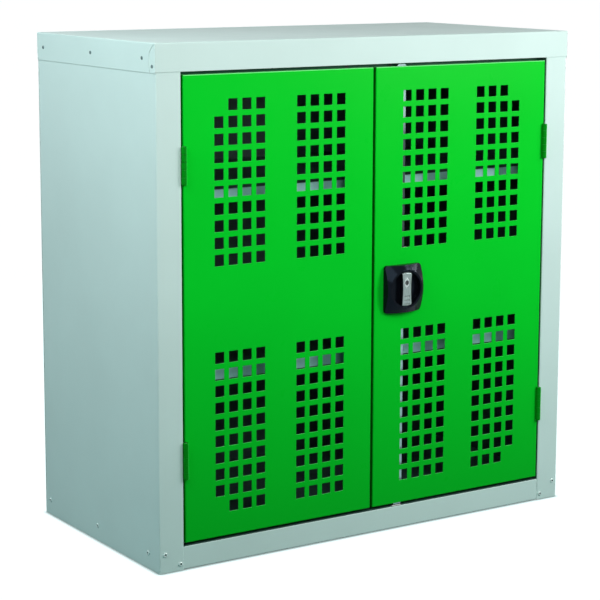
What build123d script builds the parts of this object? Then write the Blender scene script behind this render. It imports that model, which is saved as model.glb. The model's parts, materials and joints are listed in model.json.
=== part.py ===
from build123d import *
from math import cos, radians, sqrt
import os

os.makedirs("parts", exist_ok=True)

# A steel cupboard with two perforated doors, two shelves and a knob that throws an upper and a
# lower rod. X runs from left to right, Y from front to back and Z up. The origin is the bottom
# centre of the box around the cupboard and its lock.

# Case
width = 915
depth = 457
height = 935
stile_width = 50.5
header_height = 50
rail_height = 43
case_sheet = 1.2
cap_sheet = 1.0
back_sheet = 1.0
bend_radius = 2.2
seat = 0.3
overrun = 5

# Cap
cap_side_drop = 52
cap_rear_drop = 40
tab_length = 20.3
tab_rise = 34
tab_top_run = 5
tab_top_drop = 3.4
tab_gap = 1.5

# Stiles, header and rail
stile_return = 25
rear_return = 20
header_leg = 44
stop_lip = 15
door_stop_gap = 1.0
rail_foot = 20

# Base tray and shelves
tray_depth = 34
tray_sheet = 1.0
tray_setback = 16
shelf_sheet = 1.0
shelf_edge = 24
shelf_hem = 12
shelf_setback = 42
shelf_side_gap = 1.5

# Slotted strips and shelf clips
strip_sheet = 1.0
strip_web = 20
strip_rise = 8
strip_foot = 8
strip_inset = 40
strip_end_gap = 12
slot_pitch = 40
first_slot_rise = 31.5
upper_shelf_slot = 14
lower_shelf_slot = 6
slot_width = 10
slot_height = 5
clip_width = 9.4
clip_thickness = 3
clip_reach = 14
clip_tail = 5
clip_fit = 0.3

# Doors
meeting_gap = 6
hinge_gap = 4
top_gap = 6
bottom_gap = 6
door_sheet = 1.2
door_depth = 20
door_lip = 12
door_bend = 1.5

# Perforation
hole_width = 19
hole_height = 20.5
column_pitch = 28.6
row_pitch = 30.4
columns = 4
rows = 10
column_margin = 71.3
row_margin = 54

# Stiffener inside each door
stiffener_web = 26
stiffener_rise = 14
stiffener_foot = 10
stiffener_end_gap = 1.5

# Hinges
knuckle_radius = 4.75
knuckle_count = 5
hinge_height = 67
hinge_axis_proud = 3
hinge_leaf = 1.5
hinge_leaf_depth = 18
knuckle_gap = 0.4
knuckle_clearance = 0.5
knuckle_taper = 1.0
hinge_pin_radius = 2
hinge_pin_fit = 0.05
upper_hinge_inset = 156
lower_hinge_inset = 150

# Lock housing and knob
lock_inset = 61
lock_lift = 1
housing_width = 82
housing_height = 90
housing_corner = 6
housing_rise = 18
housing_rim_radius = 36.5
housing_shoulder = 4
housing_floor = 4
sleeve_radius = 11
sleeve_length = 5.2
door_hole_clearance = 0.3
nut_width = 30
nut_thickness = 3
thread_fit = 0.05
knob_radius = 34.4
knob_fit = 0.4
knob_wall = 1.6
knob_floor = 3
knob_rib = 17
knob_under_gap = 0.3
grip_end_width = 21.4
grip_waist_width = 18
grip_thickness = 3.5
grip_rise = 19.5
grip_end_chamfer = 2.4
grip_groove_width = 12
grip_groove_height = 2.4
grip_groove_pitch = 7.4
grip_groove_depth = 0.8
grip_groove_drop = 20.6
grip_groove_count = 3
key_offset = 12.4
barrel_radius = 6.5
barrel_sink = 0.3
barrel_head_height = 19
barrel_head_thickness = 1.5
barrel_head_gap = 0.3
plug_radius = 4.5
plug_fit = 0.05
plug_sink = 0.2
key_slot_width = 2.2
key_slot_height = 7.6
key_slot_depth = 5

# Rod drive
spindle_radius = 4
spindle_fit = 0.06
rod_setback = 5.6
rod_width = 20
rod_thickness = 3
rod_rest_proud = 4
rod_tip_chamfer = 3
crank_radius = 16
stud_radius = 2.5
yoke_clearance = 0.7
rod_leg_margin = 3.2
leg_overlap = 10
rod_end_gap = 1.6
cam_gap = 0.5
cam_thickness = 3
cam_margin = 3
cam_screw_radius = 5
cam_screw_head = 3
cam_screw_shank = 2
cam_screw_length = 6
rod_slot_clearance = 1.2
guide_width = 34
guide_height = 10
guide_wall = 2.4
guide_fit = 0.3
guide_run_gap = 1.2
outer_guide_inset = 28

# Catch and buffers on the door stops
catch_width = 24
catch_height = 24
catch_depth = 14
catch_inset = 6
catch_gap = 0.3
magnet_face = 2
magnet_margin = 4
buffer_radius = 5
buffer_thickness = 0.7
buffer_inset = 40

# Places worked out from the sizes above
lock_proud = grip_rise
front_y = (lock_proud - cap_sheet - depth) / 2
back_y = front_y + depth
case_half = width / 2 - cap_sheet
face_y = front_y + cap_sheet
rear_y = back_y - cap_sheet - back_sheet
wall_half = case_half - case_sheet
inner_bend = bend_radius - case_sheet
opening_half = width / 2 - stile_width
header_z = height - header_height
door_width = (2 * opening_half - meeting_gap - 2 * hinge_gap) / 2
door_bottom = rail_height + bottom_gap
door_top = header_z - top_gap
door_height = door_top - door_bottom
door_mid_z = (door_top + door_bottom) / 2
door_centre_x = (meeting_gap + door_width) / 2
hinge_x = opening_half - hinge_gap
hinge_y = face_y - hinge_axis_proud
stop_y = face_y + door_depth + door_stop_gap
lock_x = meeting_gap / 2 + lock_inset
lock_z = door_mid_z + lock_lift
rod_y = face_y + rod_setback
cam_y = rod_y + rod_thickness + cam_gap
knob_back = housing_floor + knob_under_gap
half_turn_share = cos(radians(45))
crank_rest = crank_radius * half_turn_share
rod_travel = crank_radius * sqrt(2)
yoke_half = stud_radius + yoke_clearance
leg_outer = crank_radius + yoke_half + rod_leg_margin
leg_foot = crank_rest + yoke_half + rod_leg_margin
rod_shoulder = leg_foot + rod_end_gap
leg_taper_end = rod_shoulder + leg_overlap + leg_outer - rod_width / 2
inner_guide_offset = leg_taper_end + rod_travel + guide_run_gap + guide_height / 2
rod_top = door_top + rod_rest_proud
rod_bottom = door_bottom - rod_rest_proud


def finish(piece, name):
    """Label a finished piece and write its file."""
    piece.part.label = name
    export_step(piece.part, f"parts/{name}.step")


def folded_section(plane, points, thickness):
    """The section of a folded sheet, whose outer line runs through the points."""
    with BuildSketch(plane) as section:
        with BuildLine():
            FilletPolyline(*points, radius=bend_radius)
            offset(amount=thickness, side=Side.RIGHT)
        make_face()
    return section.sketch


def front_plane(y):
    """A plane facing forwards at the given Y, with X across and Z up."""
    return Plane.XZ.offset(-y)


# Side panel with its front stile and rear return, folded from one sheet
with BuildPart() as left_side_panel:
    panel_section = folded_section(
        Plane.XY,
        [
            (-opening_half, face_y + stile_return),
            (-opening_half, face_y),
            (-case_half, face_y),
            (-case_half, rear_y),
            (-case_half + rear_return, rear_y),
        ],
        case_sheet,
    )
    extrude(panel_section, amount=height - cap_sheet)
    with BuildSketch(Plane.XY):
        with Locations((-opening_half - bend_radius, face_y + case_sheet)):
            Rectangle(bend_radius + overrun, stile_return + overrun, align=(Align.MIN, Align.MIN))
    extrude(amount=rail_height + seat, mode=Mode.SUBTRACT)
finish(left_side_panel, "left_side_panel")

with BuildPart() as right_side_panel:
    mirror(left_side_panel.part, about=Plane.YZ)
finish(right_side_panel, "right_side_panel")

# Back panel, fixed to the rear returns from outside
with BuildPart() as back_panel:
    with BuildSketch(front_plane(rear_y)):
        Rectangle(2 * case_half, height - cap_sheet, align=(Align.CENTER, Align.MIN))
    extrude(amount=-back_sheet)
finish(back_panel, "back_panel")

# Cap with its flanges, whose front corners are tabs behind a slit
with BuildPart() as top_cap:
    with BuildSketch(Plane.XY.offset(height)):
        with Locations((0, front_y)):
            Rectangle(width, depth, align=(Align.CENTER, Align.MIN))
    extrude(amount=-cap_side_drop)
    fillet(top_cap.edges().group_by(Axis.Z)[-1], radius=bend_radius)
    with BuildSketch(Plane.XY.offset(height - cap_sheet)):
        with Locations((0, front_y + cap_sheet)):
            Rectangle(2 * case_half, depth - 2 * cap_sheet, align=(Align.CENTER, Align.MIN))
    extrude(amount=-cap_side_drop, mode=Mode.SUBTRACT)
    with BuildSketch(front_plane(front_y - overrun)):
        with Locations((0, header_z)):
            Rectangle(width + overrun, cap_side_drop, align=(Align.CENTER, Align.MAX))
    extrude(amount=-overrun - cap_sheet, mode=Mode.SUBTRACT)
    with BuildSketch(front_plane(back_y + overrun)):
        with Locations((0, height - cap_rear_drop)):
            Rectangle(width + overrun, cap_side_drop, align=(Align.CENTER, Align.MAX))
    extrude(amount=overrun + cap_sheet, mode=Mode.SUBTRACT)
    for side in (-1, 1):
        with BuildSketch(Plane.YZ.offset(side * width / 2)):
            with BuildLine():
                Polyline(
                    (front_y + tab_length, height - cap_side_drop - overrun),
                    (front_y + tab_length, height - cap_side_drop + tab_rise),
                    (front_y + tab_top_run, height - tab_top_drop),
                )
                offset(amount=tab_gap, side=Side.RIGHT)
            make_face()
        extrude(amount=-side * (cap_sheet + overrun), mode=Mode.SUBTRACT)
finish(top_cap, "top_cap")

# Header channel behind the cap's front flange, with the door stop and the upper rod's hole
with BuildPart() as header_channel:
    header_section = folded_section(
        Plane.YZ.offset(-opening_half + seat),
        [
            (face_y + case_sheet, header_z + header_leg),
            (face_y + case_sheet, header_z + case_sheet),
            (stop_y + case_sheet, header_z + case_sheet),
            (stop_y + case_sheet, header_z - stop_lip),
        ],
        case_sheet,
    )
    extrude(header_section, amount=2 * (opening_half - seat))
    with BuildSketch(Plane.XY.offset(header_z)):
        with Locations((lock_x, rod_y + rod_thickness / 2)):
            Rectangle(rod_width + 2 * rod_slot_clearance, rod_thickness + 2 * rod_slot_clearance)
    extrude(amount=overrun, both=True, mode=Mode.SUBTRACT)
finish(header_channel, "header_channel")

# Bottom rail, whose ends run behind the stiles, with the lower door stop and rod hole
with BuildPart() as bottom_rail:
    rail_y = face_y + case_sheet
    rail_half = wall_half - inner_bend
    rail_section = folded_section(
        Plane.YZ.offset(-rail_half),
        [
            (rail_y + rail_foot, 0),
            (rail_y, 0),
            (rail_y, rail_height),
            (stop_y, rail_height),
            (stop_y, rail_height + stop_lip),
        ],
        case_sheet,
    )
    extrude(rail_section, amount=2 * rail_half)
    for side in (-1, 1):
        with BuildSketch(Plane.YZ.offset(side * (opening_half - seat))):
            with Locations((stop_y - bend_radius, rail_height)):
                Rectangle(
                    case_sheet + bend_radius + overrun, stop_lip + overrun, align=(Align.MIN, Align.MIN)
                )
        extrude(amount=side * (stile_width + overrun), mode=Mode.SUBTRACT)
    with BuildSketch(Plane.XY.offset(rail_height)):
        with Locations((lock_x, rod_y + rod_thickness / 2)):
            Rectangle(rod_width + 2 * rod_slot_clearance, rod_thickness + 2 * rod_slot_clearance)
    extrude(amount=overrun, both=True, mode=Mode.SUBTRACT)
finish(bottom_rail, "bottom_rail")

# Base tray, tucked under the rail
with BuildPart() as base_tray:
    tray_top = rail_height - case_sheet
    tray_front = face_y + tray_setback
    tray_run = rear_y - case_sheet - inner_bend - tray_front
    with BuildSketch(Plane.XY.offset(tray_top)):
        with Locations((0, tray_front)):
            Rectangle(2 * wall_half, tray_run, align=(Align.CENTER, Align.MIN))
    extrude(amount=-tray_depth)
    with BuildSketch(Plane.XY.offset(tray_top - tray_sheet)):
        with Locations((0, tray_front - overrun)):
            Rectangle(
                2 * (wall_half - tray_sheet), tray_run - tray_sheet + overrun, align=(Align.CENTER, Align.MIN)
            )
    extrude(amount=-tray_depth, mode=Mode.SUBTRACT)
finish(base_tray, "base_tray")

# Slotted strips on the side walls, and the clips in their slots
strip_base = rail_height + strip_end_gap
strip_length = header_z - strip_end_gap - strip_base
strip_half = strip_web / 2 + strip_foot
front_strip_y = face_y + shelf_setback + strip_inset
rear_strip_y = rear_y - case_sheet - strip_inset
slot_count = int((strip_length - first_slot_rise) / slot_pitch) + 1
first_slot_z = strip_base + first_slot_rise
strip_face = wall_half - strip_rise - strip_sheet


with BuildPart() as front_left_strip:
    with BuildSketch(Plane.XY.offset(strip_base)):
        with BuildLine():
            Polyline(
                (-wall_half, front_strip_y + strip_half),
                (-wall_half, front_strip_y + strip_web / 2),
                (-strip_face - strip_sheet, front_strip_y + strip_web / 2),
                (-strip_face - strip_sheet, front_strip_y - strip_web / 2),
                (-wall_half, front_strip_y - strip_web / 2),
                (-wall_half, front_strip_y - strip_half),
            )
            offset(amount=strip_sheet, side=Side.LEFT, kind=Kind.INTERSECTION)
        make_face()
    extrude(amount=strip_length)
    with BuildSketch(Plane.YZ.offset(-strip_face)):
        with Locations((front_strip_y, first_slot_z)):
            with GridLocations(slot_pitch, slot_pitch, 1, slot_count, align=(Align.CENTER, Align.MIN)):
                Rectangle(slot_width, slot_height)
    extrude(amount=2 * strip_sheet, both=True, mode=Mode.SUBTRACT)
finish(front_left_strip, "front_left_shelf_strip")

with BuildPart() as front_right_strip:
    mirror(front_left_strip.part, about=Plane.YZ)
finish(front_right_strip, "front_right_shelf_strip")

with BuildPart() as rear_left_strip:
    with Locations((0, rear_strip_y - front_strip_y)):
        add(front_left_strip.part)
finish(rear_left_strip, "rear_left_shelf_strip")

with BuildPart() as rear_right_strip:
    with Locations((0, rear_strip_y - front_strip_y)):
        add(front_right_strip.part)
finish(rear_right_strip, "rear_right_shelf_strip")

strip_places = [(side, centre_y) for side in (-1, 1) for centre_y in (front_strip_y, rear_strip_y)]


def ledge_height(slot):
    """The height of a clip's ledge in the slot of that number, counted from the lowest as nought."""
    return first_slot_z + slot * slot_pitch - slot_height / 2 + clip_thickness


def clip_row(name, slot):
    """Four clips, each with a ledge under the shelf and a tail that hooks behind its strip."""
    ledge_top = ledge_height(slot)
    hook_front = strip_face + strip_sheet + clip_fit
    with BuildPart() as clips:
        for side, centre_y in strip_places:
            with BuildSketch(front_plane(centre_y + clip_width / 2)):
                with BuildLine():
                    Polyline(
                        (side * (hook_front), ledge_top - clip_thickness),
                        (side * (strip_face - clip_reach), ledge_top - clip_thickness),
                        (side * (strip_face - clip_reach), ledge_top),
                        (side * (hook_front + clip_thickness), ledge_top),
                        (side * (hook_front + clip_thickness), ledge_top - clip_tail),
                        (side * (hook_front), ledge_top - clip_tail),
                        close=True,
                    )
                make_face()
            extrude(amount=clip_width)
    finish(clips, name)


def shelf(name, slot):
    """A folded tray with a down-turned edge and an inward hem on all four sides."""
    shelf_top = ledge_height(slot) + shelf_edge
    front = face_y + shelf_setback
    run = rear_y - case_sheet - shelf_side_gap - front
    centre = front + run / 2
    span = 2 * (strip_face - shelf_side_gap)
    with BuildPart() as tray:
        with BuildSketch(Plane.XY.offset(shelf_top)):
            with Locations((0, centre)):
                Rectangle(span, run)
        extrude(amount=-shelf_edge)
        fillet(tray.edges().group_by(Axis.Z)[-1], radius=bend_radius)
        with BuildSketch(Plane.XY.offset(shelf_top - shelf_sheet)):
            with Locations((0, centre)):
                Rectangle(span - 2 * shelf_sheet, run - 2 * shelf_sheet)
        extrude(amount=-shelf_edge + 2 * shelf_sheet, mode=Mode.SUBTRACT)
        with BuildSketch(Plane.XY.offset(shelf_top - shelf_edge)):
            with Locations((0, centre)):
                Rectangle(span - 2 * shelf_hem, run - 2 * shelf_hem)
        extrude(amount=2 * shelf_sheet, both=True, mode=Mode.SUBTRACT)
    finish(tray, name)


shelf("upper_shelf", upper_shelf_slot)
shelf("lower_shelf", lower_shelf_slot)
clip_row("upper_shelf_clips", upper_shelf_slot)
clip_row("lower_shelf_clips", lower_shelf_slot)


block_step_x = door_width - 2 * column_margin - (columns - 1) * column_pitch
block_step_z = door_height - 2 * row_margin - (rows - 1) * row_pitch
outer_column = door_width / 2 - column_margin
outer_row = door_height / 2 - row_margin
hinge_heights = (door_bottom + lower_hinge_inset, door_top - upper_hinge_inset)

# Left door: a pan with a folded lip, its perforation and a notch for each hinge. The outermost
# hole at the top and at the bottom of the hinge side is left out.
with BuildPart() as left_door:
    with BuildSketch(front_plane(face_y)):
        with Locations((-door_centre_x, door_mid_z)):
            Rectangle(door_width, door_height)
    extrude(amount=-door_depth)
    fillet(left_door.edges().group_by(Axis.Y)[0], radius=door_bend)
    with BuildSketch(front_plane(face_y + door_sheet)):
        with Locations((-door_centre_x, door_mid_z)):
            Rectangle(door_width - 2 * door_sheet, door_height - 2 * door_sheet)
    extrude(amount=-door_depth + 2 * door_sheet, mode=Mode.SUBTRACT)
    with BuildSketch(front_plane(face_y + door_depth)):
        with Locations((-door_centre_x, door_mid_z)):
            Rectangle(door_width - 2 * door_lip, door_height - 2 * door_lip)
    extrude(amount=2 * door_sheet, both=True, mode=Mode.SUBTRACT)
    for hinge_z in hinge_heights:
        with BuildSketch(Plane.XY.offset(hinge_z)):
            with Locations((-hinge_x, hinge_y)):
                Circle(knuckle_radius + knuckle_clearance)
        extrude(amount=hinge_height / 2 + knuckle_clearance, both=True, mode=Mode.SUBTRACT)
    with BuildSketch(front_plane(face_y)):
        with Locations((-door_centre_x, door_mid_z)):
            with GridLocations(block_step_x, block_step_z, 2, 2):
                with GridLocations(column_pitch, row_pitch, columns, rows):
                    Rectangle(hole_width, hole_height)
            with Locations((-outer_column, outer_row), (-outer_column, -outer_row)):
                Rectangle(column_pitch, row_pitch, mode=Mode.SUBTRACT)
    extrude(amount=2 * door_sheet, both=True, mode=Mode.SUBTRACT)
finish(left_door, "left_door")

# Right door: the same pan turned over, with the lock's hole and the slots for the two rods
with BuildPart() as right_door:
    mirror(left_door.part, about=Plane.YZ)
    with BuildSketch(front_plane(face_y)):
        with Locations((lock_x, lock_z)):
            Circle(sleeve_radius + door_hole_clearance)
    extrude(amount=2 * door_sheet, both=True, mode=Mode.SUBTRACT)
    with BuildSketch(Plane.XY.offset(door_mid_z)):
        with Locations((lock_x, rod_y + rod_thickness / 2)):
            Rectangle(rod_width + 2 * guide_fit, rod_thickness + 2 * guide_fit)
    extrude(amount=door_height, both=True, mode=Mode.SUBTRACT)
finish(right_door, "right_door")

# Stiffener welded between the two columns of holes in each door
for name, side in (("left_door_stiffener", -1), ("right_door_stiffener", 1)):
    with BuildPart() as stiffener:
        inner_y = face_y + door_sheet
        centre_x = side * door_centre_x
        web_half = stiffener_web / 2
        foot_half = web_half + stiffener_foot
        with BuildSketch(Plane.XY.offset(door_bottom + door_sheet + stiffener_end_gap)):
            with BuildLine():
                Polyline(
                    (centre_x - foot_half, inner_y),
                    (centre_x - web_half, inner_y),
                    (centre_x - web_half, inner_y + stiffener_rise),
                    (centre_x + web_half, inner_y + stiffener_rise),
                    (centre_x + web_half, inner_y),
                    (centre_x + foot_half, inner_y),
                )
                offset(amount=door_sheet, side=Side.LEFT, kind=Kind.INTERSECTION)
            make_face()
        extrude(amount=door_height - 2 * (door_sheet + stiffener_end_gap))
    finish(stiffener, name)


# Hinges: a frame leaf with the odd knuckles, a door leaf with the even ones, and a pin
knuckle_length = (hinge_height - (knuckle_count - 1) * knuckle_gap) / knuckle_count


def hinge_leaf_plate(name, side, hinge_z, leaf_x, first):
    """One leaf with every second knuckle, from the knuckle of that number, counted from nought."""
    leaf_front = knuckle_radius + knuckle_clearance
    plate_end = hinge_axis_proud + hinge_leaf_depth
    starts = [
        hinge_z - hinge_height / 2 + knuckle * (knuckle_length + knuckle_gap)
        for knuckle in range(first, knuckle_count, 2)
    ]
    with BuildPart() as leaf:
        for start in starts:
            with BuildSketch(Plane.XY.offset(start)):
                with Locations((side * hinge_x, hinge_y)):
                    Circle(knuckle_radius)
            extrude(amount=knuckle_length)
        if first == 0:
            rims = leaf.edges().filter_by(GeomType.CIRCLE).group_by(Axis.Z)
            chamfer(rims[0] + rims[-1], length=knuckle_taper)
        for start in starts:
            with BuildSketch(Plane.XY.offset(start + knuckle_taper)):
                with Locations((leaf_x, hinge_y)):
                    Rectangle(hinge_leaf, leaf_front + hinge_leaf, align=(Align.CENTER, Align.MIN))
            extrude(amount=knuckle_length - 2 * knuckle_taper)
        with BuildSketch(Plane.XY.offset(hinge_z)):
            with Locations((leaf_x, hinge_y + leaf_front)):
                Rectangle(hinge_leaf, plate_end - leaf_front, align=(Align.CENTER, Align.MIN))
        extrude(amount=hinge_height / 2, both=True)
        with BuildSketch(Plane.XY.offset(hinge_z)):
            with Locations((side * hinge_x, hinge_y)):
                Circle(hinge_pin_radius + hinge_pin_fit)
        extrude(amount=hinge_height, both=True, mode=Mode.SUBTRACT)
    finish(leaf, name)


for side_name, side in (("left", -1), ("right", 1)):
    for end_name, hinge_z in (("lower", hinge_heights[0]), ("upper", hinge_heights[1])):
        hinge_name = f"{side_name}_{end_name}_hinge"
        frame_leaf_x = side * (opening_half - hinge_leaf / 2)
        door_leaf_x = side * (hinge_x + hinge_leaf / 2)
        hinge_leaf_plate(f"{hinge_name}_frame_leaf", side, hinge_z, frame_leaf_x, 0)
        hinge_leaf_plate(f"{hinge_name}_door_leaf", side, hinge_z, door_leaf_x, 1)
        with BuildPart() as pin:
            with BuildSketch(Plane.XY.offset(hinge_z)):
                with Locations((side * hinge_x, hinge_y)):
                    Circle(hinge_pin_radius)
            extrude(amount=hinge_height / 2, both=True)
        finish(pin, f"{hinge_name}_pin")


def lock_plane(proud):
    """A plane facing forwards on the lock's axis, at a distance in front of the door's face."""
    return Plane((lock_x, face_y - proud, lock_z), x_dir=(1, 0, 0), z_dir=(0, -1, 0))


# Lock housing: a square foot that a cone cuts to a round rim, with the knob's recess and a sleeve
with BuildPart() as lock_housing:
    with BuildSketch(lock_plane(0)):
        RectangleRounded(housing_width, housing_height, housing_corner)
    extrude(amount=housing_rise)
    corner_reach = sqrt((housing_width / 2) ** 2 + (housing_height / 2) ** 2)
    with BuildSketch(Plane((lock_x, face_y, lock_z), x_dir=(1, 0, 0), z_dir=(0, 0, -1))):
        with BuildLine():
            Polyline(
                (0, -overrun),
                (corner_reach, -overrun),
                (corner_reach, housing_shoulder),
                (housing_rim_radius, housing_rise),
                (0, housing_rise),
                close=True,
            )
        make_face()
    revolve(axis=Axis((lock_x, face_y, lock_z), (0, 1, 0)), mode=Mode.INTERSECT)
    with BuildSketch(lock_plane(housing_rise)):
        Circle(knob_radius + knob_fit)
    extrude(amount=-housing_rise + housing_floor, mode=Mode.SUBTRACT)
    with BuildSketch(lock_plane(housing_floor)):
        Circle(sleeve_radius)
    extrude(amount=-housing_floor - sleeve_length)
    with BuildSketch(lock_plane(housing_floor)):
        Circle(spindle_radius + spindle_fit)
    extrude(amount=-housing_floor - sleeve_length, mode=Mode.SUBTRACT)
finish(lock_housing, "lock_housing")

# Nut that holds the housing from inside the door
with BuildPart() as lock_nut:
    with BuildSketch(lock_plane(-door_sheet)):
        RegularPolygon(nut_width / 2, 6, major_radius=False)
        Circle(sleeve_radius + thread_fit, mode=Mode.SUBTRACT)
    extrude(amount=-nut_thickness)
finish(lock_nut, "lock_nut")

# Knob: a dish with a rib across it, turning in the housing
with BuildPart() as lock_knob:
    with BuildSketch(lock_plane(knob_back)):
        Circle(knob_radius)
    extrude(amount=housing_rise - knob_back)
    with BuildSketch(lock_plane(knob_back + knob_floor)):
        Circle(knob_radius - knob_wall)
        Rectangle(knob_rib, 2 * knob_radius, mode=Mode.SUBTRACT)
    extrude(amount=housing_rise, mode=Mode.SUBTRACT)
    with BuildSketch(lock_plane(grip_rise - grip_thickness)):
        Circle(knob_radius - knob_wall)
    extrude(amount=housing_rise, mode=Mode.SUBTRACT)
    with BuildSketch(lock_plane(knob_back + knob_floor)):
        with Locations((0, key_offset)):
            Circle(barrel_radius + plug_fit)
    extrude(amount=housing_rise, mode=Mode.SUBTRACT)
    with BuildSketch(lock_plane(knob_back)):
        Circle(spindle_radius)
    extrude(amount=knob_floor, mode=Mode.SUBTRACT)
finish(lock_knob, "lock_knob")

def barrel_lens(margin):
    """The pointed oval of the key barrel's head, grown by a margin, drawn in the open sketch."""
    half_width = barrel_radius + margin
    half_height = barrel_head_height / 2 + margin
    arc_radius = (half_width**2 + half_height**2) / (2 * half_width)
    with Locations((arc_radius - half_width, key_offset)):
        Circle(arc_radius)
    with Locations((half_width - arc_radius, key_offset)):
        Circle(arc_radius, mode=Mode.INTERSECT)


# Grip: a waisted metal bar on the knob's rib, with chamfered ends and three grooves
with BuildPart() as lock_grip:
    grip_radius = knob_radius - knob_wall - knob_fit
    waist_depth = (grip_end_width - grip_waist_width) / 2
    waist_radius = (grip_radius**2 + waist_depth**2) / (2 * waist_depth)
    with BuildSketch(lock_plane(grip_rise - grip_thickness)):
        Circle(grip_radius)
        Rectangle(grip_end_width, 2 * grip_radius, mode=Mode.INTERSECT)
        with Locations(
            (grip_waist_width / 2 + waist_radius, 0),
            (-grip_waist_width / 2 - waist_radius, 0),
        ):
            Circle(waist_radius, mode=Mode.SUBTRACT)
    extrude(amount=grip_thickness)
    front_rim = lock_grip.edges().group_by(Axis.Y)[0]
    chamfer([front_rim.sort_by(Axis.Z)[0], front_rim.sort_by(Axis.Z)[-1]], length=grip_end_chamfer)
    with BuildSketch(lock_plane(grip_rise)):
        with Locations((0, -grip_groove_drop)):
            with GridLocations(grip_groove_pitch, grip_groove_pitch, 1, grip_groove_count):
                Rectangle(grip_groove_width, grip_groove_height)
    extrude(amount=-grip_groove_depth, mode=Mode.SUBTRACT)
    with BuildSketch(lock_plane(grip_rise)):
        with Locations((0, key_offset)):
            Circle(barrel_radius + plug_fit)
    extrude(amount=grip_thickness, both=True, mode=Mode.SUBTRACT)
    with BuildSketch(lock_plane(grip_rise)):
        barrel_lens(barrel_head_gap)
    extrude(amount=-barrel_sink - barrel_head_thickness - seat, mode=Mode.SUBTRACT)
finish(lock_grip, "lock_grip")

# Key barrel in the grip, and the plug that the key turns in it
with BuildPart() as key_barrel:
    with BuildSketch(lock_plane(knob_back + knob_floor)):
        with Locations((0, key_offset)):
            Circle(barrel_radius)
            Circle(plug_radius + plug_fit, mode=Mode.SUBTRACT)
    extrude(amount=grip_rise - barrel_sink - knob_back - knob_floor)
    with BuildSketch(lock_plane(grip_rise - barrel_sink)):
        barrel_lens(0)
        with Locations((0, key_offset)):
            Circle(plug_radius + plug_fit, mode=Mode.SUBTRACT)
    extrude(amount=-barrel_head_thickness)
finish(key_barrel, "key_barrel")

with BuildPart() as key_plug:
    plug_front = grip_rise - barrel_sink - plug_sink
    with BuildSketch(lock_plane(plug_front)):
        with Locations((0, key_offset)):
            Circle(plug_radius)
    extrude(amount=knob_back + knob_floor + seat - plug_front)
    with BuildSketch(lock_plane(plug_front)):
        with Locations((0, key_offset)):
            Rectangle(key_slot_width, key_slot_height)
    extrude(amount=-key_slot_depth, mode=Mode.SUBTRACT)
finish(key_plug, "key_plug")

# Spindle through the housing's sleeve, the cam on its end and the screw that holds it
cam_front = -(cam_y - face_y)
with BuildPart() as lock_spindle:
    with BuildSketch(lock_plane(knob_back + knob_floor)):
        Circle(spindle_radius)
    extrude(amount=cam_front - knob_back - knob_floor)
    with BuildSketch(lock_plane(cam_front)):
        Circle(cam_screw_shank + thread_fit)
    extrude(amount=cam_screw_length, mode=Mode.SUBTRACT)
finish(lock_spindle, "lock_spindle")

with BuildPart() as lock_cam:
    with BuildSketch(lock_plane(cam_front)):
        Circle(crank_radius + stud_radius + cam_margin)
        Circle(cam_screw_shank + thread_fit, mode=Mode.SUBTRACT)
    extrude(amount=-cam_thickness)
    with BuildSketch(lock_plane(cam_front)):
        with Locations((-crank_rest, -crank_rest), (crank_rest, crank_rest)):
            Circle(stud_radius)
    extrude(amount=cam_gap + rod_thickness)
finish(lock_cam, "lock_cam")

with BuildPart() as cam_screw:
    with BuildSketch(lock_plane(cam_front - cam_thickness)):
        Circle(cam_screw_radius)
    extrude(amount=-cam_screw_head)
    with BuildSketch(lock_plane(cam_front - cam_thickness)):
        Circle(cam_screw_shank)
    extrude(amount=cam_thickness + cam_screw_length - seat)
finish(cam_screw, "cam_screw")


def lock_rod(name, up, tip):
    """A flat rod with a leg beside the spindle; the leg's cross slot takes one stud of the cam."""
    reach = abs(tip - lock_z)
    leg_inner = crank_rest - yoke_half - rod_leg_margin
    slot_outer = crank_radius + yoke_half
    slot_inner = crank_rest - yoke_half
    rear = -(rod_y + rod_thickness - face_y)
    with BuildPart() as rod:
        with BuildSketch(lock_plane(rear)):
            with BuildLine():
                Polyline(
                    (-up * leg_outer, -up * leg_foot),
                    (-up * leg_inner, -up * leg_foot),
                    (-up * leg_inner, up * rod_shoulder),
                    (up * rod_width / 2, up * rod_shoulder),
                    (up * rod_width / 2, up * (reach - rod_tip_chamfer)),
                    (up * (rod_width / 2 - rod_tip_chamfer), up * reach),
                    (-up * (rod_width / 2 - rod_tip_chamfer), up * reach),
                    (-up * rod_width / 2, up * (reach - rod_tip_chamfer)),
                    (-up * rod_width / 2, up * leg_taper_end),
                    (-up * leg_outer, up * (rod_shoulder + leg_overlap)),
                    close=True,
                )
            make_face()
            with Locations((-up * (slot_outer + slot_inner) / 2, -up * crank_rest)):
                SlotOverall(slot_outer - slot_inner, 2 * yoke_half, mode=Mode.SUBTRACT)
        extrude(amount=rod_thickness)
    finish(rod, name)


lock_rod("upper_lock_rod", 1, rod_top)
lock_rod("lower_lock_rod", -1, rod_bottom)


def rod_guides(name, heights):
    """Two guide blocks on the door's inner face, each with a slot for the rod."""
    block_rear = rod_y + rod_thickness + guide_fit + guide_wall
    with BuildPart() as guides:
        for guide_z in heights:
            with BuildSketch(Plane.XY.offset(guide_z)):
                with Locations((lock_x, face_y + door_sheet)):
                    Rectangle(guide_width, block_rear - face_y - door_sheet, align=(Align.CENTER, Align.MIN))
                with Locations((lock_x, rod_y + rod_thickness / 2)):
                    Rectangle(
                        rod_width + 2 * guide_fit, rod_thickness + 2 * guide_fit, mode=Mode.SUBTRACT
                    )
            extrude(amount=guide_height / 2, both=True)
    finish(guides, name)


rod_guides("upper_rod_guides", (lock_z + inner_guide_offset, door_top - outer_guide_inset))
rod_guides("lower_rod_guides", (lock_z - inner_guide_offset, door_bottom + outer_guide_inset))

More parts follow.
